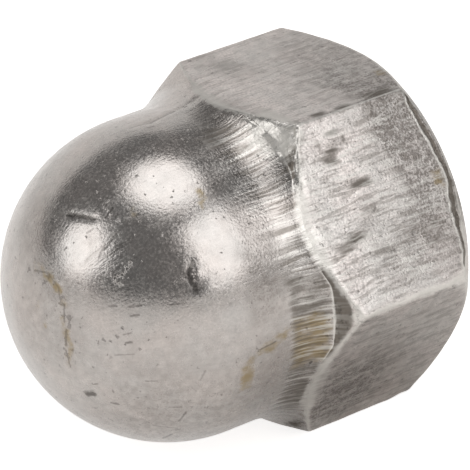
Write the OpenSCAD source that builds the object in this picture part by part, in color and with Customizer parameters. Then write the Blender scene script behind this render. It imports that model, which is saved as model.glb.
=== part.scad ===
// Cap nut with a domed end, turned, bored and tapped from one length of hexagon bar.
// It lies on one of its flats, centred over the origin, with the dome along -X and the seat facing +X.
// The modules before cap_nut() are drawn as it is turned: the seat on Z = 0 and the dome along +Z.

/* [Hexagon] */
// Width across the flats
across_flats = 18; // [15:0.5:20]
// Height of the corners above the seat, where the upper chamfer meets them
corner_h = 8; // [4:0.1:9.5]
// Slope of the upper chamfer, from the level
upper_chamfer_angle = 45; // [20:1:55]
// Slope of the lower chamfer, from the level
lower_chamfer_angle = 40; // [15:1:50]
// How far the seat's edge lies inside the flats, on each side
seat_inset = 0.15; // [0.05:0.05:1]

/* [Dome] */
// Overall height, from the seat to the tip of the dome
overall_h = 21.7; // [20.5:0.1:30]
// How far the dome's round side lies inside the flats, on each side
dome_inset = 0.35; // [0.1:0.05:1]
// How far the foot of the dome flares out to the shoulder
flare_rise = 0.6; // [0.1:0.05:1]
// Radius of the hollow flare
flare_r = 4.4; // [2:0.1:6]

/* [Thread] */
// Nominal diameter
thread_d = 12; // [8:0.5:14]
// Pitch
thread_pitch = 1.75; // [1:0.25:2]
// Metal between the point of the drilled hole and the tip of the dome
tip_wall = 2; // [1.5:0.1:5]
// Included angle of the drilled hole's point
drill_point_angle = 118; // [90:1:140]
// How much wider than the thread the countersunk mouth is
mouth_clearance = 1; // [0.4:0.1:1.6]
// Included angle of the countersunk mouth
mouth_angle = 90; // [60:5:120]

/* [Hidden] */
$fn = 96;
STEEL = [0.66, 0.65, 0.64];

// A 60 degree internal thread is as deep as this share of its sharp triangle
THREAD_DEPTH_SHARE = 5 / 8;
// How far a cutting solid runs past the face that it opens
OVERRUN = 1;

flat_r = across_flats / 2;
corner_r = flat_r / cos(30);
seat_r = flat_r - seat_inset;
dome_r = flat_r - dome_inset;
shoulder_r = dome_r + flare_rise;

// The turned blank is wider than the corners, and both chamfers run out to its side
blank_r = corner_r + OVERRUN;
lower_chamfer_end_z = (blank_r - seat_r) * tan(lower_chamfer_angle);
upper_chamfer_start_z = corner_h - (blank_r - corner_r) * tan(upper_chamfer_angle);
shoulder_z = corner_h + (corner_r - shoulder_r) * tan(upper_chamfer_angle);

// The flare leaves the shoulder at an edge and runs into the dome's straight side without one
flare_end_z = shoulder_z + sqrt(pow(flare_r, 2) - pow(flare_r - flare_rise, 2));
dome_centre_z = overall_h - dome_r;

thread_minor_r = thread_d / 2 - THREAD_DEPTH_SHARE * cos(30) * thread_pitch;
drill_point_h = thread_minor_r / tan(drill_point_angle / 2);
bore_h = overall_h - tip_wall - drill_point_h;
mouth_r = (thread_d + mouth_clearance) / 2;
mouth_cone_h = mouth_r / tan(mouth_angle / 2);

// Hexagon bar, as long as the finished nut, with two of its flats facing along X
module hexagon_bar() {
    rotate([0, 0, 30])
        cylinder(h = overall_h, r = corner_r, $fn = 6);
}

// Half section of the seat and both chamfers
module foot_section() {
    polygon([
        [0, 0],
        [seat_r, 0],
        [blank_r, lower_chamfer_end_z],
        [blank_r, upper_chamfer_start_z],
        [shoulder_r, shoulder_z],
        [0, shoulder_z]
    ]);
}

// Half section of the hollow flare between the shoulder and the dome
module flare_section() {
    difference() {
        translate([0, corner_h])
            square([shoulder_r, flare_end_z - corner_h]);
        translate([dome_r + flare_r, flare_end_z])
            circle(r = flare_r);
    }
}

// Half section of the dome: a short straight side under a quarter circle
module dome_section() {
    translate([0, corner_h])
        square([dome_r, dome_centre_z - corner_h]);
    intersection() {
        translate([0, dome_centre_z])
            circle(r = dome_r);
        translate([0, dome_centre_z])
            square(dome_r);
    }
}

// The blank as the lathe leaves it
module turned_blank() {
    rotate_extrude() {
        foot_section();
        flare_section();
        dome_section();
    }
}

// Blind hole at the thread's minor diameter, with a drilled point and a countersunk mouth
module threaded_hole() {
    translate([0, 0, -OVERRUN])
        cylinder(h = OVERRUN + bore_h, r = thread_minor_r);
    translate([0, 0, bore_h])
        cylinder(h = drill_point_h, r1 = thread_minor_r, r2 = 0);
    translate([0, 0, -OVERRUN])
        cylinder(h = OVERRUN, r = mouth_r);
    cylinder(h = mouth_cone_h, r1 = mouth_r, r2 = 0);
}

// The finished nut, laid down on a flat
module cap_nut() {
    color(STEEL)
        translate([overall_h / 2, 0, flat_r])
            rotate([0, -90, 0])
                difference() {
                    intersection() {
                        hexagon_bar();
                        turned_blank();
                    }
                    threaded_hole();
                }
}

cap_nut();
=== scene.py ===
"""Cap nut: a worn steel nut that lies on one of its flats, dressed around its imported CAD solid."""

import logging
import math
from dataclasses import dataclass, field
from enum import Enum
from typing import Any, Iterable, Sequence

import bmesh
import bpy
import numpy as np
from mathutils import Matrix, Vector, noise


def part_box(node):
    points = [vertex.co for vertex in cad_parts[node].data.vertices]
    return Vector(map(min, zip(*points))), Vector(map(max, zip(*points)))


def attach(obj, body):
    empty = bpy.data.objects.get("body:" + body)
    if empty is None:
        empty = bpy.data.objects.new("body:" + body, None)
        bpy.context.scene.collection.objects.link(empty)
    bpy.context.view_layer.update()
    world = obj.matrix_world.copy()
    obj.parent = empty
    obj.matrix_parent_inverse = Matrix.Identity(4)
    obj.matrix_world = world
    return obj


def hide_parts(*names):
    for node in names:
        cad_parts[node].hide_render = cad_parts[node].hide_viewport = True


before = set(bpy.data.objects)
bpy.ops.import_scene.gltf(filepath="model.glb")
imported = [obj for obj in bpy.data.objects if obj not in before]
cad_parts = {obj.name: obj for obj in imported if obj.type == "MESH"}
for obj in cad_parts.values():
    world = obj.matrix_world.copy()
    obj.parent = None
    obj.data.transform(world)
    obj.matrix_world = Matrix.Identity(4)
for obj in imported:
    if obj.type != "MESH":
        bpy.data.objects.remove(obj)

logger = logging.getLogger("cap_nut")

NODE = "cap_nut"
SKIN = NODE + "_skin"
BODY = "root"
MM = 0.001

SIDES = 6
SIXTH = math.radians(60.0)
CORNER_ANGLE = math.radians(30.0)
FULL_TURN = 2.0 * math.pi
ORIGIN = (0.0, 0.0, 0.0)
UP = (0.0, 0.0, 1.0)

# A thread of 60 degrees inside a hole is as deep as this share of its sharp triangle
THREAD_HALF_ANGLE = math.radians(30.0)
THREAD_DEPTH_SHARE = 0.625
# Rounding of a corner that counts as sharp, and the least length that is divided by
NO_ROUNDING = 1e-6
LEAST_LENGTH = 1e-9

Colour = tuple[float, float, float, float]
Socket = bpy.types.NodeSocket


def metres(millimetres: float) -> float:
    """Turn millimetres into Blender's metres."""
    return millimetres * MM


def direction(azimuth_deg: float, elevation_deg: float) -> Vector:
    """Give the unit vector towards a place in the room.

    Args:
        azimuth_deg: Turn around the vertical, 0 in front of the nut (-Y) and growing towards +X.
        elevation_deg: Height above the level.

    Returns:
        The direction, from the nut outwards.
    """
    azimuth, elevation = math.radians(azimuth_deg), math.radians(elevation_deg)
    level = math.cos(elevation)
    return Vector((math.sin(azimuth) * level, -math.cos(azimuth) * level, math.sin(elevation)))


def smooth_step(low: float, high: float, value: Any) -> Any:
    """Rise smoothly from 0 at low to 1 at high, for a number or an array."""
    share = np.clip((value - low) / (high - low), 0.0, 1.0)
    return share * share * (3.0 - 2.0 * share)


def wrapped(angle: Any) -> Any:
    """Bring an angle in radians, or an array of them, within half a turn either way."""
    return (angle + math.pi) % FULL_TURN - math.pi


def around(radius: np.ndarray, angles: np.ndarray, heights: np.ndarray) -> np.ndarray:
    """Give the points at these distances from the axis, angles and heights."""
    return np.column_stack((radius * np.cos(angles), radius * np.sin(angles), heights))


def facing(away: Vector) -> Matrix:
    """Turn a lamp or camera to look back along the direction that it stands in."""
    return (-away).to_track_quat("-Z", "Y").to_matrix().to_4x4()


def show(piece: bpy.types.Object) -> None:
    """Link an object to the scene."""
    bpy.context.scene.collection.objects.link(piece)


def chain(form: bmesh.types.BMesh, places: Iterable[Sequence[float]]) -> list[bmesh.types.BMVert]:
    """Draw a line of points with an edge from each to the next.

    Args:
        form: Mesh to draw in.
        places: Where the points go.

    Returns:
        The points.
    """
    vertices = [form.verts.new(place) for place in places]
    for pair in zip(vertices[:-1], vertices[1:]):
        form.edges.new(pair)
    return vertices


def spin_once(
    form: bmesh.types.BMesh, steps: int, gap: float, climb: float = 0.0, merge: bool = False
) -> None:
    """Turn the section in a mesh once around the upright axis and close it.

    Args:
        form: Mesh that holds the section's points and edges.
        steps: Number of columns.
        gap: Points closer together than this are merged, in the mesh's own unit.
        climb: Rise along the axis over the turn.
        merge: Whether the spin itself joins the last column to the first.
    """
    bmesh.ops.spin(
        form,
        geom=form.verts[:] + form.edges[:],
        cent=ORIGIN,
        axis=UP,
        dvec=(0.0, 0.0, climb / steps),
        angle=FULL_TURN,
        steps=steps,
        use_merge=merge,
        use_duplicate=False,
    )
    bmesh.ops.remove_doubles(form, verts=form.verts[:], dist=gap)


@dataclass(frozen=True)
class Unevenness:
    """Smooth noise between about -1 and 1, with patches of one width in millimetres."""

    width: float
    seed: float

    def at(self, points: np.ndarray) -> np.ndarray:
        """Give the noise at each point, in the turning frame."""
        scaled = points / self.width + self.seed
        return np.array([noise.noise(Vector(point)) for point in scaled])


# ---------------------------------------------------------------------------------------------
# The nut's sizes and form
# ---------------------------------------------------------------------------------------------


@dataclass(frozen=True)
class NutSizes:
    """Sizes in millimetres, in the frame in which the nut is turned: seat at height 0, dome up."""

    across_flats: float
    overall_h: float
    corner_h: float = 8.0
    seat_inset: float = 0.15
    lower_slope: float = math.tan(math.radians(40.0))
    upper_slope: float = math.tan(math.radians(45.0))
    dome_inset: float = 0.35
    flare_rise: float = 0.6
    flare_r: float = 4.4
    thread_r: float = 6.0
    pitch: float = 1.75
    tip_wall: float = 2.0
    point_half_angle: float = math.radians(59.0)
    mouth_r: float = 6.5

    @classmethod
    def of_node(cls, node: str) -> "NutSizes":
        """Read the two outer sizes off the CAD node's box."""
        low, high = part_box(node)
        return cls(across_flats=(high.z - low.z) / MM, overall_h=(high.x - low.x) / MM)

    @property
    def flat_r(self) -> float:
        """Distance from the axis to a flat."""
        return self.across_flats / 2.0

    @property
    def corner_r(self) -> float:
        """Distance from the axis to a corner."""
        return self.flat_r / math.cos(CORNER_ANGLE)

    @property
    def seat_r(self) -> float:
        """Radius of the seat's outer edge."""
        return self.flat_r - self.seat_inset

    @property
    def dome_r(self) -> float:
        """Radius of the dome."""
        return self.flat_r - self.dome_inset

    @property
    def shoulder_r(self) -> float:
        """Radius at which the upper chamfer meets the flare."""
        return self.dome_r + self.flare_rise

    @property
    def shoulder_z(self) -> float:
        """Height of the shoulder above the seat."""
        return self.corner_h + (self.corner_r - self.shoulder_r) * self.upper_slope

    @property
    def flare_turn(self) -> float:
        """Angle of the flare's arc, in radians."""
        return math.acos(1.0 - self.flare_rise / self.flare_r)

    @property
    def flare_end_z(self) -> float:
        """Height at which the flare has run into the dome's straight side."""
        return self.shoulder_z + self.flare_r * math.sin(self.flare_turn)

    @property
    def dome_centre_z(self) -> float:
        """Height of the dome's centre."""
        return self.overall_h - self.dome_r

    @property
    def bore_r(self) -> float:
        """Radius of the thread's crests."""
        return self.thread_r - THREAD_DEPTH_SHARE * math.cos(THREAD_HALF_ANGLE) * self.pitch

    @property
    def bore_end_z(self) -> float:
        """Height at which the bore's straight side ends and its drilled point starts."""
        return self.overall_h - self.tip_wall - self.bore_r / math.tan(self.point_half_angle)

    def laid_down(self) -> Matrix:
        """Lay the nut down on a flat.

        Returns:
            The move from the turning frame, in millimetres, to the nut lying in the room.
        """
        turn = Matrix.Rotation(math.radians(-90.0), 4, "Y")
        shift = Matrix.Translation((metres(self.overall_h / 2.0), 0.0, metres(self.flat_r)))
        return shift @ turn @ Matrix.Scale(MM, 4)


@dataclass(frozen=True)
class Patch:
    """A soft-edged area of the skin, placed by an angle in degrees and a height.

    Its reach each way is in millimetres: turn around the axis and rise along it. A higher edge is
    a sharper one.
    """

    angle: float
    height: float
    turn: float
    rise: float
    amount: float
    edge: float = 3.0

    def share(self, points: np.ndarray) -> np.ndarray:
        """Give the patch's strength at each point.

        Args:
            points: Points in the turning frame, in millimetres.

        Returns:
            The strength, at most the patch's amount.
        """
        angles = np.arctan2(points[:, 1], points[:, 0]) - math.radians(self.angle)
        across = wrapped(angles) * np.hypot(points[:, 0], points[:, 1]) / self.turn
        along = (points[:, 2] - self.height) / self.rise
        return self.amount * np.exp(-(np.abs(across) ** self.edge) - np.abs(along) ** self.edge)


def patches_share(patches: Iterable[Patch], points: np.ndarray) -> np.ndarray:
    """Add up patches.

    Args:
        patches: The patches.
        points: Points in the turning frame, in millimetres.

    Returns:
        Their summed strength at each point.
    """
    total = np.zeros(len(points))
    for patch in patches:
        total += patch.share(points)
    return total


@dataclass(frozen=True)
class Mark:
    """A line on the skin between two places, each an angle and a height."""

    start: tuple[float, float]
    end: tuple[float, float]
    width: float


@dataclass(frozen=True)
class Dent(Mark):
    """A mark that moves the skin: in where its depth is positive, out where it is negative."""

    depth: float
    lip: float = 0.0
    lip_gap: float = 1.4
    lip_width: float = 0.4

    def lift(self, gap: np.ndarray) -> np.ndarray:
        """Work out how far the mark moves the skin.

        Args:
            gap: Distance from the mark's line, in widths of the mark.

        Returns:
            How far out the skin moves.
        """
        hollow = np.clip(1.0 - gap**2, 0.0, None) ** 2
        lip = self.lip * np.exp(-(((gap - self.lip_gap) / self.lip_width) ** 2))
        return self.depth * (lip - hollow)


@dataclass(frozen=True)
class Nick(Mark):
    """A mark too fine to move the skin."""

    strength: float = 0.8


@dataclass
class SkinMap:
    """Finds places on the skin by angle and height."""

    points: np.ndarray
    normals: np.ndarray
    outer: np.ndarray

    def at(self, angle: float, height: float) -> np.ndarray:
        """Find the skin's point at an angle and a height.

        Args:
            angle: Angle around the axis, in degrees.
            height: Height above the seat.

        Returns:
            The point, in the turning frame.
        """
        turn = math.radians(angle)
        reach = np.hypot(self.points[:, 0], self.points[:, 1])
        heights = np.full(len(reach), height)
        wanted = np.column_stack((reach * math.cos(turn), reach * math.sin(turn), heights))
        gaps = np.where(self.outer, np.linalg.norm(self.points - wanted, axis=1), np.inf)
        return wanted[int(np.argmin(gaps))]

    def trace(self, mark: Mark, spacing: float = 0.5) -> np.ndarray:
        """Follow a mark along the skin.

        Args:
            mark: The mark.
            spacing: About how far apart the traced points are.

        Returns:
            Points along the mark, at least two.
        """
        ends = np.array([self.at(*mark.start), self.at(*mark.end)])
        count = max(2, int(np.linalg.norm(ends[1] - ends[0]) / spacing) + 1)
        shares = np.linspace(0.0, 1.0, count)
        angles = mark.start[0] + shares * (mark.end[0] - mark.start[0])
        heights = mark.start[1] + shares * (mark.end[1] - mark.start[1])
        return np.array([self.at(angle, height) for angle, height in zip(angles, heights)])

    def gap_to(self, mark: Mark) -> np.ndarray:
        """Measure the distance from a mark's line.

        Args:
            mark: The mark.

        Returns:
            Each point's distance.
        """
        path = self.trace(mark)
        nearest = np.full(len(self.points), np.inf)
        for start, end in zip(path[:-1], path[1:]):
            reach = end - start
            offset = self.points - start
            share = np.clip(offset @ reach / max(float(reach @ reach), LEAST_LENGTH), 0.0, 1.0)
            nearest = np.minimum(nearest, np.linalg.norm(offset - share[:, None] * reach, axis=1))
        return nearest


class Zone(Enum):
    """Stretches of the skin, from the mouth over the outside to the tip."""

    SEAT = 0
    LOWER_CHAMFER = 1
    FLAT = 2
    UPPER_CHAMFER = 3
    FLARE = 4
    DOME = 5


class Finish(Enum):
    """The nut's finishes, numbered as the mesh's material slots."""

    TUMBLED = 0
    DRAWN = 1
    FACED = 2
    THREADED = 3


ZONE_FINISH = {
    Zone.SEAT: Finish.FACED,
    Zone.LOWER_CHAMFER: Finish.FACED,
    Zone.FLAT: Finish.DRAWN,
    Zone.UPPER_CHAMFER: Finish.TUMBLED,
    Zone.FLARE: Finish.TUMBLED,
    Zone.DOME: Finish.TUMBLED,
}


@dataclass(frozen=True)
class SkinGrid:
    """How finely the skin is divided, with a number of rows for each zone."""

    columns: int = 360
    rows: tuple[int, ...] = (6, 10, 44, 10, 20, 76)
    corner_gather: float = 0.6
    crease_gather: float = 0.45
    thread_columns: int = 120
    rows_per_pitch: int = 16

    def first_row(self, zone: Zone) -> int:
        """Give the row at which a zone starts."""
        return sum(self.rows[: zone.value])

    def zone_of(self, row: float) -> Zone:
        """Find the zone that a row lies in.

        Args:
            row: The row's number, or one between two rows.

        Returns:
            The zone.
        """
        for zone in Zone:
            if row < self.first_row(zone) + self.rows[zone.value]:
                return zone
        return Zone.DOME


@dataclass(frozen=True)
class TurnedSide:
    """A turned face that meets the hexagon along an edge."""

    chosen: np.ndarray
    beyond: np.ndarray
    normal: tuple[Any, Any]


@dataclass
class NutSkin:
    """The nut's outside: a turned blank on which the bar's six flats are left."""

    size: NutSizes
    grid: SkinGrid = field(default_factory=SkinGrid)
    seat_start_r: float = 6.7
    least_chamfer: float = 0.4
    edge_round: float = 0.12
    edge_round_spread: float = 0.05
    least_round: float = 0.03
    rough: Unevenness = Unevenness(0.9, 4.3)
    fine: Unevenness = Unevenness(0.4, 9.1)
    look_ahead: float = 0.05
    worn_edges: tuple[Patch, ...] = (
        Patch(270.0, 4.6, 1.2, 3.2, 0.34),
        Patch(302.0, 9.1, 4.4, 0.8, 0.2),
        Patch(240.0, 9.1, 4.2, 0.8, 0.24),
        Patch(330.0, 8.0, 0.8, 0.6, 0.1),
        Patch(271.0, 1.4, 1.3, 0.7, 0.4),
        Patch(285.0, 0.7, 1.6, 0.6, 0.3),
        Patch(210.0, 1.6, 1.0, 0.8, 0.25),
        Patch(0.0, 9.1, 3.5, 0.6, 0.12),
    )

    def hexagon_reach(self, angles: np.ndarray, rounding: np.ndarray) -> np.ndarray:
        """Give the distance from the axis to the hexagon's side, with its corners rounded.

        Args:
            angles: Angles around the axis, in radians.
            rounding: Width of the rounding at each angle.

        Returns:
            The distance in each direction.
        """
        from_flat = np.abs((angles + SIXTH / 2.0) % SIXTH - SIXTH / 2.0)
        reach = self.size.flat_r / np.cos(from_flat)
        gap = reach * (np.cos(from_flat) - np.cos(SIXTH - from_flat))
        overlap = np.clip(rounding - gap, 0.0, None)
        return reach - overlap**2 / (4.0 * rounding) / math.cos(SIXTH / 2.0)

    def sharp_reach(self, angles: np.ndarray) -> np.ndarray:
        """Give the distance from the axis to the hexagon's side, with its corners sharp."""
        return self.hexagon_reach(angles, np.full(len(angles), NO_ROUNDING))

    def upper_line(self, length: np.ndarray) -> tuple[np.ndarray, np.ndarray]:
        """Follow the blank's section from a corner to the tip.

        Args:
            length: How far along the section, from the corner.

        Returns:
            The distance from the axis and the height there.
        """
        size = self.size
        slope = math.atan(size.upper_slope)
        chamfer = (size.corner_r - size.shoulder_r) / math.cos(slope)
        flare = size.flare_r * size.flare_turn
        straight = size.dome_centre_z - size.flare_end_z
        on_chamfer = np.minimum(length, chamfer)
        on_flare = np.clip(length - chamfer, 0.0, flare)
        on_side = np.clip(length - chamfer - flare, 0.0, straight)
        on_dome = np.clip(length - chamfer - flare - straight, 0.0, None) / size.dome_r
        flare_angle = size.flare_turn - on_flare / size.flare_r
        reach = size.corner_r - on_chamfer * math.cos(slope)
        reach = reach - size.flare_r * (np.cos(flare_angle) - math.cos(size.flare_turn))
        reach = reach - size.dome_r * (1.0 - np.cos(on_dome))
        height = size.corner_h + on_chamfer * math.sin(slope) + on_side
        height = height + size.flare_r * (math.sin(size.flare_turn) - np.sin(flare_angle))
        return reach, height + size.dome_r * np.sin(on_dome)

    def line_lengths(self) -> tuple[float, float, float]:
        """Measure the blank's section.

        Returns:
            Its length from a corner to the shoulder, to the end of the flare and to the tip.
        """
        size = self.size
        shoulder = (size.corner_r - size.shoulder_r) / math.cos(math.atan(size.upper_slope))
        flare_end = shoulder + size.flare_r * size.flare_turn
        straight = size.dome_centre_z - size.flare_end_z
        return shoulder, flare_end, flare_end + straight + size.dome_r * math.pi / 2.0

    def crease_length(self, reach: np.ndarray) -> np.ndarray:
        """Give how far along the upper line the hexagon's side leaves it.

        Args:
            reach: The hexagon's distance from the axis.

        Returns:
            The length along the section.
        """
        size = self.size
        slope = math.atan(size.upper_slope)
        on_chamfer = (size.corner_r - np.maximum(reach, size.shoulder_r)) / math.cos(slope)
        centre_r = size.dome_r + size.flare_r
        cosine = (centre_r - np.clip(reach, size.dome_r, size.shoulder_r)) / size.flare_r
        return on_chamfer + size.flare_r * (size.flare_turn - np.arccos(np.clip(cosine, -1.0, 1.0)))

    def place(self, rows: np.ndarray, angles: np.ndarray) -> tuple[np.ndarray, np.ndarray]:
        """Work out where rows and columns of the skin cross, with sharp creases.

        Args:
            rows: Row numbers.
            angles: Angles around the axis, in radians.

        Returns:
            The distance from the axis and the height.
        """
        size, grid = self.size, self.grid
        reach = self.sharp_reach(angles)
        low_z = (reach - size.seat_r) * size.lower_slope
        crease = self.crease_length(reach)
        crease_r, high_z = self.upper_line(crease)
        shoulder, flare_end, tip = self.line_lengths()
        step = np.maximum(shoulder, crease + self.least_chamfer)

        seat, chamfer, flat, bevel, flare, dome = (
            (rows - grid.first_row(zone)) / grid.rows[zone.value] for zone in Zone
        )
        flat = flat - grid.crease_gather * np.sin(FULL_TURN * flat) / FULL_TURN
        on_bevel = crease + bevel * (step - crease)
        on_flare = np.where(flare > 0.0, step + flare * (flare_end - step), on_bevel)
        upper = np.where(dome > 0.0, flare_end + dome * (tip - flare_end), on_flare)
        upper_r, upper_z = self.upper_line(upper)

        zones = [seat <= 1.0, chamfer <= 1.0, flat <= 1.0]
        seat_r = self.seat_start_r + seat * (size.seat_r - self.seat_start_r)
        chamfer_r = size.seat_r + chamfer * (reach - size.seat_r)
        flat_z = low_z + flat * (high_z - low_z)
        radius = np.select(zones, [seat_r, chamfer_r, reach], upper_r)
        height = np.select(zones, [0.0 * seat, chamfer * low_z, flat_z], upper_z)
        return radius, height

    def rounding(self, points: np.ndarray) -> np.ndarray:
        """Give how widely an edge is worn at each point.

        Args:
            points: Points in the turning frame.

        Returns:
            The width of the rounding.
        """
        rough, fine = self.rough.at(points), self.fine.at(points)
        width = self.edge_round + self.edge_round_spread * (rough + 0.3 * fine)
        worn = patches_share(self.worn_edges, points) * (1.0 + 0.5 * rough + 0.2 * fine)
        return np.maximum(width + worn, self.least_round)

    def turned_sides(
        self, rows: np.ndarray, radius: np.ndarray, height: np.ndarray, reach: np.ndarray
    ) -> tuple[TurnedSide, TurnedSide]:
        """Find the two turned faces that meet the hexagon: the lower chamfer and the one above.

        Args:
            rows: Row numbers.
            radius: Each point's distance from the axis.
            height: Its height.
            reach: The hexagon's distance from the axis in its direction.

        Returns:
            The faces, with the points near each and how far beyond it they lie.
        """
        size, grid = self.size, self.grid
        low_slope = math.atan(size.lower_slope)
        below = (math.sin(low_slope), -math.cos(low_slope))
        crease = self.crease_length(reach)
        line_r, line_z = self.upper_line(crease)
        ahead_r, ahead_z = self.upper_line(crease + self.look_ahead)
        along = np.hypot(ahead_r - line_r, ahead_z - line_z)
        above = ((ahead_z - line_z) / along, (line_r - ahead_r) / along)
        to_low = (radius - size.seat_r) * below[0] + height * below[1]
        to_high = (radius - line_r) * above[0] + (height - line_z) * above[1]

        middle = grid.first_row(Zone.FLAT) + grid.rows[Zone.FLAT.value] / 2.0
        in_low = (rows >= grid.first_row(Zone.LOWER_CHAMFER)) & (rows <= middle)
        in_high = (rows > middle) & (rows < grid.first_row(Zone.DOME))
        return TurnedSide(in_low, to_low, below), TurnedSide(in_high, to_high, above)

    def wear(self, rows: np.ndarray, angles: np.ndarray) -> tuple[np.ndarray, np.ndarray]:
        """Round the sharp creases off.

        Args:
            rows: Row numbers.
            angles: Angles around the axis, in radians.

        Returns:
            The points, and how far each was worn as a share of the most it could be.
        """
        grid = self.grid
        radius, height = self.place(rows, angles)
        width = self.rounding(around(radius, angles, height))
        reach = self.hexagon_reach(angles, width)
        corner_wear = self.sharp_reach(angles) - reach
        on_hexagon = (rows >= grid.first_row(Zone.FLAT)) & (rows <= grid.first_row(Zone.UPPER_CHAMFER))
        radius = np.where(on_hexagon, reach, radius)
        off_hexagon = ~on_hexagon & (rows >= grid.first_row(Zone.LOWER_CHAMFER))
        radius = np.where(off_hexagon, np.minimum(radius, reach), radius)

        push_r, push_z, worn = np.zeros(len(rows)), np.zeros(len(rows)), np.zeros(len(rows))
        for side in self.turned_sides(rows, radius, height, reach):
            normal_r, normal_z = side.normal
            apart = np.clip(np.where(on_hexagon, -side.beyond, reach - radius), 0.0, None)
            overlap = np.clip(width - apart, 0.0, None) / width
            cut = overlap**2 * width / 4.0
            mean_r, mean_z = (1.0 + normal_r) / 2.0, normal_z / 2.0
            squared = mean_r**2 + mean_z**2
            push_r += np.where(side.chosen, cut * mean_r / squared, 0.0)
            push_z += np.where(side.chosen, cut * mean_z / squared, 0.0)
            worn += np.where(side.chosen, overlap, 0.0)
        points = around(radius - push_r, angles, height - push_z)
        on_corner = np.clip(corner_wear / (width / 4.0), 0.0, 1.0) * on_hexagon
        return points, np.clip(np.maximum(worn, on_corner), 0.0, 1.0)


# ---------------------------------------------------------------------------------------------
# Shader building blocks
# ---------------------------------------------------------------------------------------------


class Graph:
    """Adds nodes to one shader tree, with their inputs set or joined as they are made."""

    def __init__(self, tree: bpy.types.NodeTree) -> None:
        """Keep the tree that the nodes go to."""
        self.tree = tree

    def join(self, value: Any, socket: Socket) -> None:
        """Link a socket to an input, or set the input to a plain value."""
        if isinstance(value, Socket):
            self.tree.links.new(value, socket)
        else:
            socket.default_value = value

    def add(self, kind: str, inputs: dict[Any, Any] | None = None, **settings: Any) -> bpy.types.Node:
        """Make one node.

        Args:
            kind: The node's type name, without its ShaderNode prefix.
            inputs: Value or socket for each input, by name or number.
            settings: Settings of the node itself.

        Returns:
            The node.
        """
        node = self.tree.nodes.new("ShaderNode" + kind)
        for name, value in settings.items():
            setattr(node, name, value)
        for key, value in (inputs or {}).items():
            self.join(value, node.inputs[key])
        return node

    def math(self, operation: str, *values: Any, clamp: bool = False) -> Socket:
        """Join values by one sum."""
        return self.add("Math", dict(enumerate(values)), operation=operation, use_clamp=clamp).outputs[0]

    def vector(self, operation: str, *values: Any) -> Socket:
        """Join vectors by one sum that gives a vector."""
        return self.add("VectorMath", dict(enumerate(values)), operation=operation).outputs["Vector"]

    def measure(self, operation: str, *values: Any) -> Socket:
        """Join vectors by one sum that gives a number."""
        return self.add("VectorMath", dict(enumerate(values)), operation=operation).outputs["Value"]

    def total(self, first: Any, first_share: Any, second: Any, second_share: Any) -> Socket:
        """Add two values, each times its own share."""
        scaled = self.math("MULTIPLY", second, second_share)
        return self.math("MULTIPLY_ADD", first, first_share, scaled)

    def noise(self, place: Any, fineness: Any, detail: float) -> Socket:
        """Give smooth noise from 0 to 1, with so many patches a millimetre."""
        return self.add("TexNoise", {"Vector": place, "Scale": fineness, "Detail": detail}).outputs["Fac"]

    def ramp(self, value: Any, low: Any, high: Any, bottom: Any = 0.0, top: Any = 1.0) -> Socket:
        """Rise smoothly from bottom to top as the value goes from low to high."""
        inputs = {"Value": value, "From Min": low, "From Max": high, "To Min": bottom, "To Max": top}
        return self.add("MapRange", inputs, interpolation_type="SMOOTHSTEP").outputs["Result"]

    def band(self, value: Any, start: float, full: float, last: float, end: float) -> Socket:
        """Rise from 0 at start to 1 at full, and fall from 1 at last to 0 at end."""
        return self.math("MULTIPLY", self.ramp(value, start, full), self.ramp(value, end, last))

    def squeezed(self, place: Any, length: Any, axis: str) -> Socket:
        """Make the pattern that is read there so many times longer along one axis.

        Args:
            place: The places at which the pattern is read.
            length: How many times longer it gets.
            axis: The axis: X, Y or Z.

        Returns:
            The places to use.
        """
        squeeze = self.math("DIVIDE", 1.0, length)
        scale = self.add("CombineXYZ", {"X": 1.0, "Y": 1.0, "Z": 1.0} | {axis: squeeze})
        return self.vector("MULTIPLY", place, scale.outputs["Vector"])

    def blend(self, share: Any, first: Any, second: Any) -> Socket:
        """Blend two colours.

        Args:
            share: How much of the second colour shows.
            first: The colour beneath.
            second: The colour on top.

        Returns:
            The blended colour.
        """
        node = self.add("Mix", {"Factor": share}, data_type="RGBA")
        for name, value in (("A", first), ("B", second)):
            self.join(value, next(s for s in node.inputs if s.name == name and s.type == "RGBA"))
        return next(s for s in node.outputs if s.type == "RGBA")

    def attribute(self, name: str) -> Socket:
        """Read one of the mesh's own masks."""
        return self.add("Attribute", attribute_name=name).outputs["Fac"]

    def course(self) -> Socket:
        """Read the place along the skin: around it and up its section, in millimetres."""
        return self.add("Attribute", attribute_name="course").outputs["Vector"]


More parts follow.
